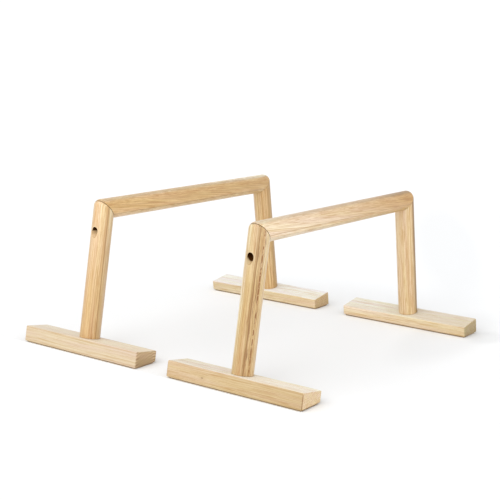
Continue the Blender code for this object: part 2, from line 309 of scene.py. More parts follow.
def foot_blank():
    """The foot in its end's frame, with every arris eased."""
    half = FOOT_WIDTH / 2
    inner_side = [(-half, foot_underside(-half)), (-half, FOOT_TOP)]
    outer_side = [(half, FOOT_TOP), (half, foot_underside(half))]
    bm = bmesh.new()
    face = bm.faces.new([bm.verts.new((x, -FOOT_LENGTH / 2, z)) for x, z in inner_side + outer_side])
    swept = bmesh.ops.extrude_face_region(bm, geom=[face])["geom"]
    moved = [item for item in swept if isinstance(item, bmesh.types.BMVert)]
    bmesh.ops.translate(bm, verts=moved, vec=(0, FOOT_LENGTH, 0))
    ease_edges(bm, bm.edges[:], FOOT_ARRIS, FOOT_ARRIS_STEPS)
    return mesh_from("foot", bm)


def pad_mesh():
    """The thin strip under a foot, with its rim rolled over."""
    bm = bmesh.new()
    bmesh.ops.create_cube(bm, size=1)
    bmesh.ops.scale(bm, verts=bm.verts, vec=PAD_SIZE)
    bmesh.ops.translate(bm, verts=bm.verts, vec=(0, 0, PAD_SIZE.z / 2))
    corners = [e for e in bm.edges if abs(e.verts[0].co.z - e.verts[1].co.z) > PAD_SIZE.z / 2]
    ease_edges(bm, corners, PAD_CORNER_R, PAD_CORNER_STEPS)
    rim = [e for e in bm.edges if len({round(v.co.z, 6) for v in e.verts}) == 1]
    ease_edges(bm, rim, PAD_ROUND, PAD_RIM_STEPS)
    return mesh_from("grip_pad", bm)


def turned(profile, sides=BORE_SIDES):
    """A closed body turned about Z from (radius, z) pairs."""
    return skin([ring(radius, z, sides) for radius, z in profile])


def hexagon(i):
    """Scales point i of a screw's ring so that the ring becomes a hexagon, corners at full radius."""
    turn = math.tau * i / SCREW_SIDES
    return math.cos(math.pi / 6) / math.cos(turn % (math.pi / 3) - math.pi / 6)


def add_thread(bm, below, start, turns):
    """Wind a thread on from the ring below, and return the ring that closes it.

    The core and the crest are two strands of one helix. The crest rises out of the core over the first turn
    and sinks into it over the last, so both ends close on a plain ring.
    """
    sides = len(below)
    last = (turns - 1) * sides

    def strand(count, lift, extra):
        verts = []
        for i in range(count + 1):
            angle = math.tau * i / sides
            r = SCREW_CORE_R + extra * max(0.0, min(1.0, i / sides, (last - i) / sides))
            z = start + SCREW_PITCH * (i / sides + lift)
            verts.append(bm.verts.new((r * math.cos(angle), r * math.sin(angle), z)))
        return verts

    core = strand(turns * sides, 0, 0)
    crest = strand(last, 0.5, SCREW_R - SCREW_CORE_R)
    top = start + SCREW_PITCH * (turns + THREAD_LEAD)
    above = [bm.verts.new(point) for point in ring(SCREW_CORE_R, top, sides)]
    for i in range(last):
        bm.faces.new((core[i], core[i + 1], crest[i + 1], crest[i]))
        bm.faces.new((crest[i], crest[i + 1], core[i + 1 + sides], core[i + sides]))
    for i in range(sides - 1):
        bm.faces.new((below[i], below[i + 1], core[i + 1], core[i]))
    bm.faces.new((below[-1], below[0], core[0], crest[0], core[sides], core[sides - 1]))
    bm.faces.new((core[last], core[last + 1], above[1], above[0], core[last + sides], crest[last]))
    for i in range(1, sides - 1):
        bm.faces.new((core[last + i], core[last + i + 1], above[i + 1], above[i]))
    bm.faces.new((core[last + sides - 1], core[last + sides], above[0], above[-1]))
    return above


def screw_mesh(name, head, shank, length):
    """A wood screw, seat at the origin and tip along +Z. head lists (radius, z) down to the shank."""
    bm = bmesh.new()
    top = head[0][1]
    rings = [ring(HEX_R, z, SCREW_SIDES, hexagon) for z in (top + HEX_DEPTH, top)]
    rings += [ring(radius, z, SCREW_SIDES) for radius, z in head]
    rings.append(ring(SCREW_NECK_R, shank, SCREW_SIDES))
    loops = add_sleeve(bm, rings)
    bm.faces.new(loops[0])
    thread_start = shank + SCREW_PITCH * THREAD_LEAD
    turns = int((length - SCREW_TIP - thread_start) / SCREW_PITCH - THREAD_LEAD)
    above = add_thread(bm, loops[-1], thread_start, turns)
    tip = bm.verts.new((0, 0, length))
    for i in range(SCREW_SIDES):
        bm.faces.new((above[i], above[(i + 1) % SCREW_SIDES], tip))
    return mesh_from(name, bm)


def mitre_screw_mesh():
    head = [(WASHER_HEAD_R * wide, -WASHER_HEAD_H * high) for wide, high in WASHER_HEAD_CROWN]
    head += [(WASHER_HEAD_R, 0), (SCREW_NECK_R, 0)]
    return screw_mesh("mitre_screw", head, MITRE_SCREW_SHANK, MITRE_SCREW_LENGTH)


def foot_screw_mesh():
    head = [(SUNK_HEAD_R * wide, depth) for wide, depth in SUNK_HEAD_RIM] + [(SCREW_NECK_R, SUNK_HEAD_H)]
    return screw_mesh("foot_screw", head, FOOT_SCREW_SHANK, FOOT_SCREW_LENGTH)


def dowel_mesh():
    """A fluted dowel about its own middle, along Z."""
    half = DOWEL_LENGTH / 2

    def fluted(i):
        wave = math.cos(math.tau * i * DOWEL_FLUTES / DOWEL_SIDES)
        return 1 - DOWEL_FLUTE / DOWEL_R * (1 - abs(wave))

    narrow = DOWEL_R - DOWEL_CHAMFER
    rings = [ring(narrow, -half, DOWEL_SIDES)]
    rings += [ring(DOWEL_R, z, DOWEL_SIDES, fluted) for z in (DOWEL_CHAMFER - half, half - DOWEL_CHAMFER)]
    rings.append(ring(narrow, half, DOWEL_SIDES))
    return mesh_from("dowel", skin(rings))


# Fasteners' places in the end's frame
MITRE_SCREW_PLACE = along(MITRE_NORMAL, MITRE_SCREW_SEAT)
MITRE_DOWEL_PLACE = along(MITRE_NORMAL, MITRE_DOWEL_CENTRE)
FOOT_SCREW_PLACE = Matrix.Translation(FOOT_SCREW_SEAT)
FOOT_DOWEL_PLACE = Matrix.Translation(FOOT_DOWEL_CENTRE)


# Bores, each a cutter and its placement


def pocket_cutter():
    """From outside the upright to the head's seat, then the clearance bore out through the mitre."""
    profile = [
        (POCKET_R, -2 * POCKET_DEPTH),
        (POCKET_R, JOINT_GAP),
        (SCREW_CLEARANCE_R, JOINT_GAP),
        (SCREW_CLEARANCE_R, MITRE_SCREW_LENGTH / 2),
    ]
    return turned(profile), MITRE_SCREW_PLACE


def thread_cutter(length, place):
    """The bore that a screw of this length cuts its thread in, drawn in to a point past the screw's tip."""
    profile = [
        (SCREW_THREAD_BORE_R, 0),
        (SCREW_THREAD_BORE_R, length - SCREW_TIP / 2),
        (SCREW_THREAD_BORE_R / 4, length + SCREW_TIP / 6),
    ]
    return turned(profile), place


def dowel_cutter(place):
    reach = DOWEL_LENGTH / 2 + DOWEL_BORE_SPARE
    return turned([(DOWEL_BORE_R, -reach), (DOWEL_BORE_R, reach)]), place


def foot_screw_cutter():
    """The sunk bore in the foot's underside, its countersink and the clearance bore through the top."""
    profile = [
        (SUNK_BORE_R, -2 * SUNK_BORE_DEPTH),
        (SUNK_BORE_R, JOINT_GAP),
        (SCREW_CLEARANCE_R, SUNK_HEAD_H + JOINT_GAP),
        (SCREW_CLEARANCE_R, 2 * FOOT_THICKNESS),
    ]
    return turned(profile), FOOT_SCREW_PLACE


def bored(mesh, cutters):
    """Cut (bmesh, placement) cutters out of a mesh, and mark the faces that they leave."""
    blank = add_object("blank", mesh)
    plain = [bpy.data.materials.new(kind) for kind in ("outside", "bore", "seam")]
    for material in plain:
        mesh.materials.append(material)
    tools = []
    for bm, place in cutters:
        tool = add_object("cutter", mesh_from("cutter", bm))
        for material in plain:
            tool.data.materials.append(material)
        for face in tool.data.polygons:
            face.material_index = BORE_FACE
        tool.matrix_world = place
        cut = blank.modifiers.new("bore", "BOOLEAN")
        cut.operation = "DIFFERENCE"
        cut.solver = "EXACT"
        cut.object = tool
        tools.append(tool)
    bpy.context.view_layer.update()
    finished = bpy.data.meshes.new_from_object(blank.evaluated_get(bpy.context.evaluated_depsgraph_get()))
    for obj in [blank] + tools:
        bpy.data.objects.remove(obj)
    return finished


def bored_upright(ease):
    cutters = [
        pocket_cutter(),
        dowel_cutter(MITRE_DOWEL_PLACE),
        thread_cutter(FOOT_SCREW_LENGTH, FOOT_SCREW_PLACE),
        dowel_cutter(FOOT_DOWEL_PLACE),
    ]
    return bored(upright_blank(ease), cutters)


def bored_handle():
    cutters = []
    for end in ENDS:
        to_handle = Matrix.Translation((0, 0, -HANDLE_Z)) @ end_place(end)
        cutters.append(thread_cutter(MITRE_SCREW_LENGTH, to_handle @ MITRE_SCREW_PLACE))
        cutters.append(dowel_cutter(to_handle @ MITRE_DOWEL_PLACE))
    return bored(handle_blank(), cutters)


def bored_foot():
    return bored(foot_blank(), [foot_screw_cutter(), dowel_cutter(FOOT_DOWEL_PLACE)])


# Materials


def linear(red, green, blue):
    """An 8-bit sRGB colour as linear values."""
    return tuple(((c / 255 + 0.055) / 1.055) ** 2.4 for c in (red, green, blue))


class Nodes:
    """The node tree of a new material or world, with short calls for the nodes that they need."""

    def __init__(self, owner):
        self.owner = owner
        owner.use_nodes = True
        self.tree = owner.node_tree
        self.shader = next(node for node in self.tree.nodes if node.type in ("BSDF_PRINCIPLED", "BACKGROUND"))

    def node(self, kind, inputs=None, **settings):
        made = self.tree.nodes.new(kind)
        for key, value in settings.items():
            setattr(made, key, value)
        self.fill(made, inputs or {})
        return made

    def fill(self, node, inputs):
        for key, value in inputs.items():
            self.feed(node.inputs[key], value)

    def feed(self, socket, value):
        if isinstance(value, bpy.types.NodeSocket):
            self.tree.links.new(value, socket)
        elif socket.type == "RGBA":
            socket.default_value = (*value, 1.0)
        else:
            socket.default_value = value

    def math(self, operation, *values):
        made = self.node("ShaderNodeMath", dict(enumerate(values)), operation=operation)
        return made.outputs[0]

    def times(self, value, factor, plus=0.0):
        return self.math("MULTIPLY_ADD", value, factor, plus)

    def vector(self, operation, *values):
        made = self.node("ShaderNodeVectorMath", dict(enumerate(values)), operation=operation)
        return made.outputs[0]

    def dot(self, vector, other):
        made = self.node("ShaderNodeVectorMath", {0: vector, 1: other}, operation="DOT_PRODUCT")
        return made.outputs["Value"]

    def scaled(self, vector, factor):
        return self.node("ShaderNodeVectorMath", {0: vector, "Scale": factor}, operation="SCALE").outputs[0]

    def length(self, vector):
        return self.node("ShaderNodeVectorMath", {0: vector}, operation="LENGTH").outputs["Value"]

    def attribute(self, name):
        return self.node("ShaderNodeAttribute", attribute_name=name)

    def noise(self, where, detail=2.0, roughness=0.5):
        """Noise about 0, from -0.5 to 0.5."""
        inputs = {"Vector": where, "Scale": 1.0, "Detail": detail, "Roughness": roughness}
        made = self.node("ShaderNodeTexNoise", inputs)
        return self.math("SUBTRACT", made.outputs["Fac"], 0.5)

    def ramp(self, value, low, high):
        """0 below low and 1 above high, smooth between them."""
        inputs = {"Value": value, "From Min": low, "From Max": high}
        return self.node("ShaderNodeMapRange", inputs, interpolation_type="SMOOTHSTEP").outputs[0]

    def fade(self, value, low, high):
        """1 below low and 0 above high, smooth between them."""
        return self.math("SUBTRACT", 1.0, self.ramp(value, low, high))

    def relief(self, height, strength, distance):
        inputs = {"Height": height, "Strength": strength, "Distance": distance}
        return self.node("ShaderNodeBump", inputs).outputs[0]

    def mix(self, factor, first, second, blend="MIX"):
        made = self.node("ShaderNodeMix", data_type="RGBA", blend_type=blend)
        self.fill(made, {"Factor": factor, 6: first, 7: second})
        return made.outputs[2]


# Shades of wood, as factors on a board's mean colour
PALE = (1.15, 1.26, 1.42)
DEEP = (0.82, 0.70, 0.54)
VESSEL = (0.62, 0.50, 0.38)
VEIN = (0.50, 0.37, 0.26)
DASH = (0.48, 0.29, 0.12)
GLUE = (0.58, 0.46, 0.29)
# a mitre's dark glue, with painted shade in its open groove
SEAM_GLUE_AND_SHADE = (0.16, 0.12, 0.09)
# painted shade inside a bore, past its mouth
PAINTED_BORE_SHADE = (0.11, 0.05, 0.014)
# a painted highlight round the pocket's rim
RIM_HIGHLIGHT = (1.16, 1.27, 1.42)
KNOT_HALO = (0.80, 0.68, 0.52)
KNOT_HEART = (0.45, 0.32, 0.22)

# Tints, as factors on the colour that they fall on
UNTINTED = (1.0, 1.0, 1.0)
YELLOWISH = (1.01, 1.02, 0.96)
PINKISH = (1.0, 0.975, 1.03)
LATE_END = (0.46, 0.38, 0.29)

# Length and width in millimetres of each kind of mark
WANDER_SIZE = (300.0, 40.0)
CROWDING_SIZE = (5000.0, 16.0)
BROAD_SIZE = (900.0, 9.0)
STREAK_SIZE = (150.0, 1.8)
THREAD_SIZE = (45.0, 1.3)
FIBRE_SIZE = (26.0, 0.5)
HUE_SIZE = (160.0, 9.0)
FLECK_SIZE = (4.2, 0.42)
VEIN_SIZE = (34.0, 1.4)
DASH_SIZE = (7.0, 4.0)
BAND_WOBBLE_SIZE = (80.0, 6.0)
PATCH_SIZE = (130.0, 30.0)

# The noise at which a mark begins, and is full
THREAD_LIMITS = (0.03, 0.13)
FLECK_LIMITS = (0.10, 0.22)
DASH_LIMITS = (-0.05, 0.08)
PATCH_LIMITS = (-0.30, 0.05)
HUE_LIMITS = (-0.2, 0.2)

# Shares of a ring's width over which its latewood comes and goes
LATE_RISE = (0.30, 0.90)
LATE_FALL = (0.93, 1.0)

RING_CROWDING = 2.2  # rings
DASH_BAND = (4, 4.5)  # degrees on from the veins' middle, and half its width
KNOT_SHAPE = (0.55, 1.0, 1.0)  # longer along the grain
ACROSS_GRAIN = (0.0, 1.0, 1.0)

MM = 1000.0  # to the metre

# Millimetres
RING_WANDER = 7.0
BAND_WOBBLE = 1.6
WHOLE = (-300.0, 300.0)  # the span of a stripe that runs all along a piece
PATCHY = None  # and of one that comes and goes
SEED_STEP = (371.0, 57.0, 91.0)  # between the places that two seeds take in the noise
HALF_SHIFT = (90.0, 31.0, -47.0)  # between the wood of a glued bar's halves
SPAN_FADE = 20.0  # over which a stripe ends
TOP_LEVELS = (14.0, 15.2)  # above a foot's middle
END_LEVELS = (12.0, -14.0)  # from a foot's top to its underside, over which an end's painted shade deepens
ARRIS_LEVELS = (10.0, 13.0)  # above which an end's arris is plain
BORE_SHADE = (0.3, 2.4)  # below the surface, over which a bore's painted shade comes in
LIP_OFFSET = 0.6  # from the pocket's wall to the middle of its rim's painted highlight
LIP_WIDTH = (0.4, 1.4)

# What a look has where it doesn't say otherwise, in millimetres and degrees from u. Each look also has a tone
# (its mean sRGB colour), a pith (where the tree's centre lies across the grain) and a seed
PLAIN_LOOK = dict(
    contrast=1.0,
    rings=0.4,  # their weight in the figure
    ring_width=2.4,
    straight=1.0,  # how much longer than usual the streaks are
    runout=0.0,  # the lean of the grain off the piece's axis
    glue_turn=None,  # the plane on which a bar's halves are glued
    glue_lean=0.0,
    glue=0.8,  # the strength of the glue's line
    glue_width=0.8,
    drift=None,  # half the length over which the tint changes, and the tints at its ends
    veins=None,  # angle, half width and strength
    stripes=(),  # each an angle, half width, strength, tint and, unless it is WHOLE, span
    knots=(),  # each a place along the grain, u, v and radius
    pocket=None,  # its mouth and its axis
    top=None,  # the tints at the ends of a foot's top: painted light, paler than the sides
    end_tint=(0.84, 0.74, 0.62),
    end_low_shade=(0.86, 0.84, 0.79),  # painted shade: a further tint at a cut end's lower edge
    end_rings=0.5,
    arris=0.0,
    roughness=0.40,
    coat=(0.35, 0.28),  # its weight and roughness
)


class Wood(Nodes):
    """Beech, drawn from the mesh's grain coordinates: one along the grain, and u and v across it."""

    def __init__(self, name, **look):
        super().__init__(bpy.data.materials.new(name))
        self.look = {**PLAIN_LOOK, **look}
        self.base = linear(*look["tone"])
        self.lay_out()
        self.latewood = self.rings()
        self.fleck = self.marks(FLECK_SIZE, FLECK_LIMITS, 1.0)
        colour = self.mix(self.figure(), self.shade(PALE), self.shade(DEEP))
        layers = (self.hue, self.drift, self.flecks, self.veins, self.halves, self.stripes, self.knots)
        layers += (self.rim_highlight, self.painted_top_light, self.cut_ends, self.bores, self.seam_glue_and_shade)
        for layer in layers:
            colour = layer(colour)
        self.polish(colour)

    def shade(self, factors):
        return tuple(min(1.0, c * f) for c, f in zip(self.base, factors))

    def laid(self, shade, colour, amount, strength=1.0):
        """The colour with a shade of the wood laid over it."""
        return self.mix(self.times(amount, strength), colour, self.shade(shade))

    def tinted(self, colour, tint):
        return self.mix(1.0, colour, tint, "MULTIPLY")

    def lay_out(self):
        """Grain coordinates in millimetres, leaned by the run-out and shifted past the glue plane."""
        self.place = self.scaled(self.attribute("grain").outputs["Vector"], MM)
        self.along, self.u, self.v = self.node("ShaderNodeSeparateXYZ", {0: self.place}).outputs
        lean = self.times(self.along, self.look["runout"])
        leaned = {0: self.along, 1: self.u, 2: self.math("ADD", self.v, lean)}
        self.wood_place = self.node("ShaderNodeCombineXYZ", leaned).outputs[0]
        if self.look["glue_turn"] is not None:
            level = self.out_towards(self.look["glue_turn"] + 90)
            self.level = self.times(self.along, self.look["glue_lean"], plus=level)
            self.half = self.math("GREATER_THAN", self.level, 0.0)
            self.wood_place = self.vector("ADD", self.wood_place, self.scaled(HALF_SHIFT, self.half))
        self.seeded = self.vector("ADD", self.wood_place, tuple(self.look["seed"] * s for s in SEED_STEP))

    def out_towards(self, degrees):
        """How far a point lies out from the piece's middle line in a direction across the grain."""
        turn = math.radians(degrees)
        return self.times(self.v, math.sin(turn), plus=self.times(self.u, math.cos(turn)))

    def mark_noise(self, size, detail=2.0, roughness=0.5, stretch=(1.0, 1.0)):
        """Noise in marks of a length and a width."""
        length, width = (side * factor for side, factor in zip(size, stretch))
        return self.noise(self.vector("DIVIDE", self.seeded, (length, width, width)), detail, roughness)

    def marks(self, size, limits, *character):
        return self.ramp(self.mark_noise(size, *character), *limits)

    def rings(self):
        """Latewood, as 0 to 1 across each growth ring, with the rings bent by the tree's wander."""
        wander = self.mark_noise(WANDER_SIZE, 1.0)
        centred = self.vector("SUBTRACT", self.wood_place, (0.0, *self.look["pith"]))
        distance = self.length(self.vector("MULTIPLY", centred, ACROSS_GRAIN))
        distance = self.times(wander, RING_WANDER, plus=distance)
        crowding = self.mark_noise(CROWDING_SIZE, 1.0)
        years = self.math("DIVIDE", distance, self.look["ring_width"])
        phase = self.math("FRACT", self.times(crowding, RING_CROWDING, plus=years))
        return self.times(self.ramp(phase, *LATE_RISE), self.fade(phase, *LATE_FALL))

    def figure(self):
        """How deep the colour is, from 0 to 1: rings, broad bands, streaks, dark threads and fine fibre."""
        contrast = self.look["contrast"]
        straight = (self.look["straight"], 1.0)
        broad = self.mark_noise(BROAD_SIZE)
        self.streak = self.mark_noise(STREAK_SIZE, 2.0, 0.7, straight)
        thread = self.marks(THREAD_SIZE, THREAD_LIMITS, 2.0, 0.6, straight)
        fibre = self.mark_noise(FIBRE_SIZE, 2.0, 0.6)
        depth = self.times(self.latewood, self.look["rings"], plus=0.5 - 0.20 * contrast)
        for layer, weight in ((broad, 1.1), (self.streak, 3.0), (thread, 1.0), (fibre, 1.2)):
            depth = self.times(layer, weight * contrast, plus=depth)
        return self.node("ShaderNodeClamp", {0: depth}).outputs[0]

    def hue(self, colour):
        """Let the colour drift between yellowish and pinkish along the board."""
        drift = self.marks(HUE_SIZE, HUE_LIMITS, 1.0)
        return self.tinted(colour, self.mix(drift, YELLOWISH, PINKISH))

    def drift(self, colour):
        """Let the colour change steadily from one end of the piece to the other, except on a foot's top."""
        if not self.look["drift"]:
            return colour
        reach, low, high = self.look["drift"]
        inputs = {"Value": self.along, "From Min": -reach, "From Max": reach}
        tint = self.mix(self.node("ShaderNodeMapRange", inputs).outputs[0], low, high)
        if self.look["top"]:
            tint = self.mix(self.ramp(self.v, *TOP_LEVELS), tint, UNTINTED)
        return self.tinted(colour, tint)

    def flecks(self, colour):
        """Short dark dashes along the grain."""
        return self.laid(VESSEL, colour, self.fleck, 0.35)

    def veins(self, colour):
        """Dark threads on one side of the bar, with a row of darker dashes among them."""
        if not self.look["veins"]:
            return colour
        degrees, half_width, strength = self.look["veins"]
        thread = self.marks(VEIN_SIZE, THREAD_LIMITS, 3.0, 0.7)
        thread = self.times(thread, self.band(degrees, half_width, 0.7))
        colour = self.laid(VEIN, colour, thread, strength)
        dash = self.marks(DASH_SIZE, DASH_LIMITS, 1.0)
        turn, half_width = DASH_BAND
        dash = self.times(dash, self.band(degrees + turn, half_width, 0.6))
        return self.laid(DASH, colour, dash, strength)

    def band(self, degrees, half_width, core):
        """1 within core of half_width of an angle round the bar, and 0 past half_width."""
        level = self.out_towards(degrees + 90)
        wobble = self.mark_noise(BAND_WOBBLE_SIZE)
        level = self.math("ABSOLUTE", self.times(wobble, BAND_WOBBLE, plus=level))
        reach = MM * BAR_R * math.sin(math.radians(half_width))
        this_side = self.ramp(self.out_towards(degrees), 0.0, 4.0)
        return self.times(self.fade(level, reach * core, reach), this_side)

    def halves(self, colour):
        """Tint one half of a glued bar, and draw the glue line between the two."""
        if self.look["glue_turn"] is None:
            return colour
        colour = self.tinted(colour, self.mix(self.half, UNTINTED, self.look["second"]))
        width = self.look["glue_width"]
        edge = self.fade(self.math("ABSOLUTE", self.level), 0.3 * width, width)
        return self.laid(GLUE, colour, edge, self.look["glue"])

    def stripes(self, colour):
        """Lengthwise bands of another tint, each at an angle round the bar and along a span of it. Some are
        painted shade and painted highlight.
        """
        for degrees, half_width, strength, tint, *rest in self.look["stripes"]:
            span = rest[0] if rest else WHOLE
            if span is PATCHY:
                there = self.marks(PATCH_SIZE, PATCH_LIMITS, 1.0)
            else:
                low, high = span
                begun = self.ramp(self.along, low - SPAN_FADE, low + SPAN_FADE)
                there = self.times(begun, self.fade(self.along, high - SPAN_FADE, high + SPAN_FADE))
            amount = self.times(self.times(self.band(degrees, half_width, 0.5), there), strength)
            colour = self.mix(amount, colour, self.tinted(colour, tint))
        return colour

    def knots(self, colour):
        """Pin knots, each a dark heart and a halo."""
        for along, u, v, radius in self.look["knots"]:
            away = self.vector("SUBTRACT", self.place, (along, u, v))
            distance = self.length(self.vector("MULTIPLY", away, KNOT_SHAPE))
            colour = self.laid(KNOT_HALO, colour, self.fade(distance, radius, radius * 3.5), 0.25)
            colour = self.laid(KNOT_HEART, colour, self.fade(distance, radius * 0.3, radius), 0.7)
        return colour

    def rim_highlight(self, colour):
        """The pocket's rim, painted paler as a highlight."""
        if not self.look["pocket"]:
            return colour
        mouth, axis = self.look["pocket"]
        away = self.vector("SUBTRACT", self.place, tuple(MM * mouth))
        distance = self.length(self.vector("CROSS_PRODUCT", away, tuple(axis)))
        off = self.math("ABSOLUTE", self.math("SUBTRACT", distance, MM * POCKET_R + LIP_OFFSET))
        return self.laid(RIM_HIGHLIGHT, colour, self.fade(off, *LIP_WIDTH), 0.6)

    def bores(self, colour):
        """Painted shade in the bores: bare wood at the mouth, darkened to near black a few millimetres in,
        where the light no longer reaches. On the pocket's lower wall, which the light reaches, the painted
        shade begins deeper.
        """
        radius = self.length(self.vector("MULTIPLY", self.place, ACROSS_GRAIN))
        depth = self.math("SUBTRACT", MM * BAR_R, radius)
        if self.look["pocket"]:
            mouth, axis = self.look["pocket"]
            below = self.vector("SUBTRACT", tuple(MM * mouth), self.place)
            lowness = self.dot(below, Vector((-axis.y, axis.x, 0)) / (MM * POCKET_R))
            lit = self.math("MAXIMUM", lowness, 0.0)
            depth = self.times(lit, -self.look["pocket_light"], plus=depth)
        # the mask of the bores' painted shade, which also takes the shine off
        self.sunk = self.times(self.ramp(depth, *BORE_SHADE), self.attribute("bore").outputs["Fac"])
        return self.laid(PAINTED_BORE_SHADE, colour, self.sunk)

    def seam_glue_and_shade(self, colour):
        """The open arris of a mitre, painted dark: its glue, and painted shade in the open groove."""
        self.seam = self.attribute("seam").outputs["Fac"]
        return self.laid(SEAM_GLUE_AND_SHADE, colour, self.seam)

    def painted_top_light(self, colour):
        """A foot's top face, with painted light that makes it paler than its sides."""
        if not self.look["top"]:
            return colour
        reach = MM * FOOT_LENGTH / 2
        run = self.ramp(self.along, -reach, reach)
        low, high = self.look["top"]
        tinted = self.tinted(colour, self.mix(run, low, high))
        return self.mix(self.ramp(self.v, *TOP_LEVELS), colour, tinted)

    def cut_ends(self, colour):
        """End grain: another tone, with painted shade that deepens downward, the rings drawn on it and a dark
        arris.
        """
        self.end = self.attribute("end").outputs["Fac"]
        arris = self.times(self.end, self.math("SUBTRACT", 1.0, self.end))
        arris = self.times(arris, self.fade(self.v, *ARRIS_LEVELS))
        cut = self.tinted(colour, self.look["end_tint"])
        low_shaded = self.tinted(cut, self.look["end_low_shade"])
        cut = self.mix(self.ramp(self.v, *END_LEVELS), cut, low_shaded)
        lines = self.times(self.ramp(self.latewood, 0.1, 0.8), self.look["end_rings"])
        cut = self.mix(lines, cut, self.tinted(cut, LATE_END))
        return self.laid(VEIN, self.mix(self.end, colour, cut), arris, self.look["arris"])

    def polish(self, colour):
        """Roughness and relief: a waxed face, open flecks and rougher cut ends."""
        rough = self.times(self.streak, 0.2, plus=self.look["roughness"])
        rough = self.times(self.end, 0.25, plus=rough)
        coat_weight, coat_roughness = self.look["coat"]
        open_air = self.math("SUBTRACT", 1.0, self.math("MAXIMUM", self.sunk, self.seam))
        height = self.times(self.fleck, -0.8, plus=self.times(self.latewood, 0.3))
        height = self.times(self.streak, 0.6, plus=height)
        inputs = {
            "Base Color": colour,
            "Roughness": rough,
            "Specular IOR Level": self.times(open_air, 0.5),
            "Coat Weight": self.times(open_air, coat_weight),
            "Coat Roughness": coat_roughness,
            "Normal": self.relief(height, 0.4, 0.00012),
        }
        self.fill(self.shader, inputs)


def wood(name, **look):
    return Wood(name, **look).owner


def clouded(name, scale, dark, light, limit, roughness):
    """A material's nodes with soft noise in its colour and roughness, and the noise itself."""
    n = Nodes(bpy.data.materials.new(name))
    cloud = n.noise(n.scaled(n.attribute("grain").outputs["Vector"], scale), 3.0, 0.6)
    colour = n.mix(n.ramp(cloud, -0.2, limit), linear(*dark), linear(*light))
    n.fill(n.shader, {"Base Color": colour, "Roughness": n.times(cloud, *roughness)})
    return n, cloud


def rubber():
    n, grit = clouded("pad_rubber", 1500.0, (140, 116, 86), (162, 138, 104), 0.25, (0.2, 0.85))
    n.fill(n.shader, {"Normal": n.relief(grit, 0.5, 0.0003)})
    return n.owner


def zinc():
    n, _ = clouded("screw_zinc", 700.0, (196, 196, 190), (214, 212, 200), 0.2, (0.25, 0.33))
    n.fill(n.shader, {"Metallic": 1.0})
    return n.owner


# Looks

# Tints of stripes, among them painted shade and painted highlight
DARK = (0.74, 0.64, 0.44)
DUSKY = (0.90, 0.84, 0.74)
PALER = (1.08, 1.12, 1.18)
GOLDEN = (1.02, 0.90, 0.66)
RUSTY = (0.86, 0.70, 0.60)
SHADED = (0.60, 0.50, 0.27)
PAINTED_HIGHLIGHT = (1.26, 1.46, 1.85)
BLEACHED = (1.28, 1.42, 1.66)

HANDLE_LOOKS = {
    "left": dict(
        tone=(202, 165, 110), pith=(-25.0, -76.0), seed=1,
        contrast=1.1,
        straight=2.5,
        runout=0.09,
        glue_turn=209,
        second=(1.04, 1.10, 1.20),
        drift=(240.0, (1.08, 1.11, 1.16), (0.95, 0.99, 1.04)),
        stripes=[
            (158, 28, 0.9, (0.95, 0.90, 0.82)),
            (192, 16, 0.7, (1.10, 1.07, 1.02)),
            (110, 20, 0.9, (0.90, 0.97, 1.14)),
            # painted highlights along the top of the far half
            (97, 15, 1.0, PAINTED_HIGHLIGHT, (70.0, 300.0)),
            (103, 24, 1.0, (1.09, 1.20, 1.36), (170.0, 300.0)),
        ],
    ),
    "right": dict(
        tone=(225, 193, 144), pith=(-60.0, -55.0), seed=2,
        contrast=0.9,
        straight=2.5,
        runout=0.07,
        glue_turn=194,
        glue=0.7,
        second=(1.08, 1.11, 1.12),
        drift=(240.0, (1.08, 1.20, 1.56), (0.69, 0.56, 0.33)),
        stripes=[
            # painted shade along the top, which takes less light than the sides, deeper on the far part
            (95, 36, 1.0, (0.80, 0.79, 0.75)),
            (180, 12, 0.8, (1.07, 1.10, 1.12)),
            (226, 20, 1.0, (0.88, 0.90, 0.92)),
            (95, 40, 1.0, (0.78, 0.75, 0.64), (170.0, 300.0)),
        ],
    ),
}
POCKET = (  # its mouth and its axis, in an upright's grain frame
    Vector((-POCKET_DROP - (FOOT_TOP + JOINT_GAP + UPRIGHT_TOP) / 2, BAR_R, 0)),
    Vector((MITRE_NORMAL.z, MITRE_NORMAL.x, 0)),
)
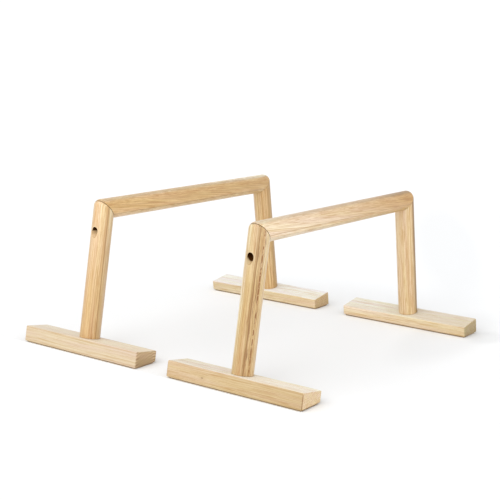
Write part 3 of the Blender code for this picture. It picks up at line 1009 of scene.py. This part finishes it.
UPRIGHT_LOOKS = {
    ("left", "front"): dict(
        tone=(207, 174, 126), pith=(40.0, 80.0), seed=3,
        contrast=0.85,
        glue_turn=72,
        glue_lean=0.006,
        glue=0.9,
        glue_width=1.1,
        second=(0.97, 1.02, 1.08),
        drift=(138.0, (0.88, 0.82, 0.71), (1.15, 1.24, 1.42)),
        stripes=[
            (8, 18, 0.9, PALER, PATCHY),
            (44, 18, 0.4, (0.94, 0.90, 0.84)),
            (70, 8, 0.6, DUSKY),
            (-4, 5, 0.9, GOLDEN, (100.0, 128.0)),
        ],
        pocket_light=11.0,
    ),
    ("left", "rear"): dict(
        tone=(206, 171, 120), pith=(-50.0, 60.0), seed=4,
        contrast=1.5,
        stripes=[
            (217, 4, 0.7, RUSTY),
            (236, 4, 0.8, DARK),
            # painted shade down the side that faces away from the light
            (276, 34, 1.0, (0.75, 0.70, 0.54)),
        ],
        pocket_light=6.5,
    ),
    ("right", "front"): dict(
        tone=(191, 160, 114), pith=(60.0, -40.0), seed=5,
        contrast=1.2,
        glue_turn=39,
        glue_lean=-0.006,
        glue=0.65,
        glue_width=1.5,
        second=(0.98, 0.96, 0.94),
        drift=(138.0, (0.98, 0.95, 0.86), (1.12, 1.17, 1.26)),
        veins=(62, 26, 1.0),
        stripes=[
            (-34, 32, 1.0, (1.18, 1.36, 1.66)),
            (36, 9, 0.8, DARK, PATCHY),
            (104, 53, 1.0, BLEACHED),
            (30, 10, 0.9, (0.89, 0.87, 0.80)),
            (36, 80, 1.0, (0.92, 0.88, 0.78), (-60.0, 40.0)),
        ],
        pocket_light=4.5,
    ),
    ("right", "rear"): dict(
        tone=(217, 189, 147), pith=(30.0, -70.0), seed=6,
        drift=(138.0, (0.95, 0.95, 0.90), (1.05, 1.06, 1.09)),
        stripes=[
            # painted shade down the side that faces away from the light, darkest at its edge, deeper along the
            # top half
            (290, 42, 1.0, SHADED),
            (277, 15, 1.0, (0.72, 0.64, 0.46)),
            (296, 34, 1.0, (0.84, 0.80, 0.70), (0.0, 300.0)),
        ],
        pocket_light=6.5,
    ),
}
DOWEL_LOOK = dict(tone=(214, 186, 148), pith=(-30.0, 20.0), seed=12)
FOOT_FINISH = dict(contrast=0.5, rings=0.2, roughness=0.62, coat=(0.0, 0.4))
FOOT_LOOKS = {
    ("left", "front"): dict(
        FOOT_FINISH,
        tone=(204, 184, 155), pith=(-45.0, -88.0), seed=7,
        contrast=0.3,
        ring_width=4.8,
        top=((1.30, 1.46, 1.70), (1.35, 1.50, 1.76)),
        end_tint=(1.03, 0.97, 0.85),
        end_low_shade=(0.74, 0.71, 0.64),
        end_rings=0.8,
    ),
    ("left", "rear"): dict(
        FOOT_FINISH,
        tone=(210, 189, 153), pith=(-80.0, -90.0), seed=8,
        drift=(140.0, (1.0, 0.95, 0.90), (1.0, 1.05, 1.10)),
        top=((1.27, 1.56, 2.30), (1.27, 1.56, 2.30)),
        end_tint=(0.99, 0.98, 0.94),
    ),
    ("right", "front"): dict(
        FOOT_FINISH,
        tone=(194, 169, 129), pith=(40.0, -90.0), seed=9,
        drift=(140.0, (1.09, 1.12, 1.18), (0.96, 0.95, 0.91)),
        knots=[(-66, 28, -2, 2.2)],
        top=((1.48, 1.86, 2.75), (1.66, 2.12, 3.25)),
        end_tint=(1.46, 1.58, 1.95),
        end_low_shade=(1.0, 0.97, 0.90),
        end_rings=0.2,
        arris=4.0,
    ),
    ("right", "rear"): dict(
        FOOT_FINISH,
        tone=(217, 197, 163), pith=(-70.0, 80.0), seed=10,
        drift=(140.0, (0.94, 0.92, 0.88), (1.06, 1.08, 1.14)),
        top=((0.99, 1.10, 1.28), (1.12, 1.33, 1.75)),
        # its end deeper, as painted shade on an end that faces away from the light
        end_tint=(0.74, 0.76, 0.71),
    ),
}


# Pieces


def set_attribute(mesh, name, kind, domain, values):
    made = mesh.attributes.new(name, kind, domain)
    field = "vector" if kind == "FLOAT_VECTOR" else "value"
    for item, value in zip(made.data, values):
        setattr(item, field, value)


def mark_grain(mesh, grain):
    """Store where each point lies in the wood, how far each corner faces along the grain, and what is bored.

    grain lists the local axes that lie along, across and across the wood's grain.
    """
    corners = [vert.co for vert in mesh.vertices]
    middle = [(min(c[axis] for c in corners) + max(c[axis] for c in corners)) / 2 for axis in grain]
    where = [[co[axis] - centre for axis, centre in zip(grain, middle)] for co in corners]
    begin, full = CUT_FACING
    facing = [abs(corner.vector[grain[0]]) for corner in mesh.corner_normals]
    end = [min(1.0, max(0.0, (f - begin) / (full - begin))) for f in facing]
    bore = [0.0] * len(mesh.loops)
    seam = [0.0] * len(mesh.loops)
    for face in mesh.polygons:
        for loop in face.loop_indices:
            bore[loop] = float(face.material_index == BORE_FACE)
            seam[loop] = float(face.material_index == SEAM_FACE)
        face.material_index = OUTSIDE_FACE
    set_attribute(mesh, "grain", "FLOAT_VECTOR", "POINT", where)
    set_attribute(mesh, "end", "FLOAT", "CORNER", end)
    set_attribute(mesh, "bore", "FLOAT", "CORNER", bore)
    set_attribute(mesh, "seam", "FLOAT", "CORNER", seam)


def add_piece(node, mesh, material, place, grain):
    """A finished piece in a CAD node's place, on its body and with its material slot."""
    mesh = mesh.copy()
    mesh.name = f"{node}_fine"
    mesh.shade_smooth()
    mesh.set_sharp_from_angle(angle=SHARP_ANGLE)
    mark_grain(mesh, grain)
    mesh.materials.clear()
    mesh.materials.append(material)
    mesh.transform(place)
    piece = add_object(mesh.name, mesh)
    body = next(name for name, nodes in frame["record"]["behaviour"]["bodies"].items() if node in nodes)
    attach(piece, body)
    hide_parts(node)
    return piece


def weigh_normals(piece):
    """Keep a block's broad faces flat to the eye, right up to their rounded arrises."""
    modifier = piece.modifiers.new("weighted_normals", "WEIGHTED_NORMAL")
    modifier.keep_sharp = True
    modifier.weight = 100


def add_handles():
    mesh = bored_handle()
    for side in SIDES:
        node = f"{side}_handle"
        place = SIDE_PLACE[side] @ Matrix.Translation((0, 0, HANDLE_Z))
        add_piece(node, mesh, wood(f"{node}_wood", **HANDLE_LOOKS[side]), place, (0, 1, 2))


def add_ends():
    uprights = {end: bored_upright(MITRE_EASE[end]) for end in ENDS}
    foot = bored_foot()
    pad = pad_mesh()
    dowel = dowel_mesh()
    fasteners = {
        "mitre_screw": (mitre_screw_mesh(), MITRE_SCREW_PLACE),
        "foot_screw": (foot_screw_mesh(), FOOT_SCREW_PLACE),
        "mitre_dowel": (dowel, MITRE_DOWEL_PLACE),
        "foot_dowel": (dowel, FOOT_DOWEL_PLACE),
    }
    finishes = {"screw": zinc(), "dowel": wood("dowel_wood", **DOWEL_LOOK), "pad": rubber()}
    for side in SIDES:
        for end in ENDS:
            stem = f"{side}_{end}"
            place = SIDE_PLACE[side] @ end_place(end)
            material = wood(f"{stem}_upright_wood", pocket=POCKET, **UPRIGHT_LOOKS[side, end])
            add_piece(f"{stem}_upright", uprights[end], material, place, (2, 0, 1))
            material = wood(f"{stem}_foot_wood", **FOOT_LOOKS[side, end])
            weigh_normals(add_piece(f"{stem}_foot", foot, material, place, (1, 0, 2)))
            for kind, (mesh, seat) in fasteners.items():
                add_piece(f"{stem}_{kind}", mesh, finishes[kind.split("_")[1]], place @ seat, (2, 0, 1))
            low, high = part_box(f"{stem}_grip_pad")
            under = Matrix.Translation(((low.x + high.x) / 2, (low.y + high.y) / 2, low.z))
            add_piece(f"{stem}_grip_pad", pad, finishes["pad"], under, (1, 0, 2))


# Studio

WHITE = 1.06  # just past what the picture shows as pure white
AMBIENT = 0.58
SHEEN = 0.95  # what glossy surfaces see of the white surround
FLOOR_COLOUR = (0.945, 0.955, 0.965)
FLOOR_SIZE = 80  # metres
FLOOR_FADE = (1.3, 2.6)  # metres from the origin over which the floor turns to plain light
FRONT_FADE = (0.3325, 0.336)  # and metres ahead of the origin
SHADOW_CORE = 0.45  # the share of a painted shadow's radius that is evenly dark
# Soft painted shadows on the floor: centre, long axis, half length, half width, how much light they hold back
FLOOR_SHADOWS = (
    ((0.14, -0.08), (0.97, 0.24), 0.62, 0.40, 0.055),
    ((1.25, 0.20), (0.87, 0.49), 1.10, 0.13, 0.055),
    ((0.26, -0.30), (1.00, 0.10), 0.30, 0.10, 0.05),
    ((0.31, -0.365), (1.00, 0.00), 0.07, 0.05, 0.07),
)
# Each light's direction, its spread in degrees and its strength
LIGHTS = {
    "key": ((-0.95, 0.30, 1.19), 65, 1.20),
    "front": ((-0.90, -0.40, 0.45), 60, 1.00),
    "fill": ((0.10, -1.00, 0.30), 90, 0.80),
}


def floor_shadow(n, place, centre, axis, half_length, half_width, depth):
    """The share of the light that one soft painted shadow, an ellipse on the floor, leaves."""
    away = n.vector("SUBTRACT", place, (*centre, 0.0))
    along = n.dot(away, Vector((*axis, 0.0)).normalized() / half_length)
    across = n.dot(away, Vector((-axis[1], axis[0], 0.0)).normalized() / half_width)
    out = n.math("SQRT", n.times(along, along, plus=n.times(across, across)))
    return n.math("SUBTRACT", 1.0, n.times(n.fade(out, SHADOW_CORE, 1.0), depth))


def add_floor():
    """A white floor with soft painted shadows, which runs out into pure white light away from the object."""
    bpy.ops.mesh.primitive_plane_add(size=FLOOR_SIZE)
    floor = bpy.context.object
    floor.name = "studio_floor"
    n = Nodes(bpy.data.materials.new("studio_floor"))
    place = n.node("ShaderNodeNewGeometry").outputs["Position"]
    shade = 1.0
    for shadow_spot in FLOOR_SHADOWS:
        shade = n.times(shade, floor_shadow(n, place, *shadow_spot))
    matt = {"Base Color": n.scaled(FLOOR_COLOUR, shade), "Roughness": 0.9, "Specular IOR Level": 0.0}
    n.fill(n.shader, matt)
    glow = n.node("ShaderNodeEmission", {"Color": (1, 1, 1), "Strength": n.times(shade, WHITE)})
    ahead = n.dot(place, (-1.0, 0.0, 0.0))
    lit = n.math("MAXIMUM", n.ramp(n.length(place), *FLOOR_FADE), n.ramp(ahead, *FRONT_FADE))
    blend = n.node("ShaderNodeMixShader", {0: lit, 1: n.shader.outputs[0], 2: glow.outputs[0]})
    n.fill(n.tree.nodes["Material Output"], {"Surface": blend.outputs[0]})
    floor.data.materials.append(n.owner)


def light_studio():
    """An even white surround, a very broad key from the left and above, and a fill from the right."""
    n = Nodes(bpy.data.worlds.new("studio_white"))
    rays = n.node("ShaderNodeLightPath").outputs
    strength = AMBIENT
    for ray, seen in (("Is Glossy Ray", SHEEN), ("Is Camera Ray", WHITE)):
        strength = n.node("ShaderNodeMix", {0: rays[ray], 2: strength, 3: seen}).outputs[0]
    n.fill(n.shader, {"Color": (1, 1, 1), "Strength": strength})
    bpy.context.scene.world = n.owner
    for name, (towards, spread, power) in LIGHTS.items():
        data = bpy.data.lights.new(name, "SUN")
        data.energy = power
        data.angle = math.radians(spread)
        light = add_object(name, data)
        light.rotation_euler = Vector(towards).to_track_quat("Z", "Y").to_euler()
    bpy.context.scene.view_settings.view_transform = "Standard"


CAMERA_AZIMUTH = math.radians(53.742)  # the view's heading, from +Y towards +X
CAMERA_ELEVATION = math.radians(11.015)
CAMERA_ROLL = math.radians(1.231)
CAMERA_DISTANCE = 2.4585
CAMERA_TARGET = Vector((0.1136, 0.1070, 0.1523))
CAMERA_LENS = 81.53  # millimetres, as is the sensor's width
CAMERA_SENSOR = 36


def add_camera():
    data = bpy.data.cameras.new("camera")
    data.lens = CAMERA_LENS
    data.sensor_width = CAMERA_SENSOR
    data.clip_end = 100
    heading = Vector((math.sin(CAMERA_AZIMUTH), math.cos(CAMERA_AZIMUTH), 0))
    forward = heading * math.cos(CAMERA_ELEVATION) - Vector((0, 0, math.sin(CAMERA_ELEVATION)))
    level = Vector((math.cos(CAMERA_AZIMUTH), -math.sin(CAMERA_AZIMUTH), 0))
    upward = level.cross(forward)
    right = level * math.cos(CAMERA_ROLL) + upward * math.sin(CAMERA_ROLL)
    up = upward * math.cos(CAMERA_ROLL) - level * math.sin(CAMERA_ROLL)
    where = CAMERA_TARGET - forward * CAMERA_DISTANCE
    camera = add_object("camera", data)
    camera.matrix_world = Matrix.Translation(where) @ Matrix((right, up, -forward)).transposed().to_4x4()
    bpy.context.scene.camera = camera


add_handles()
add_ends()
add_floor()
light_studio()
add_camera()
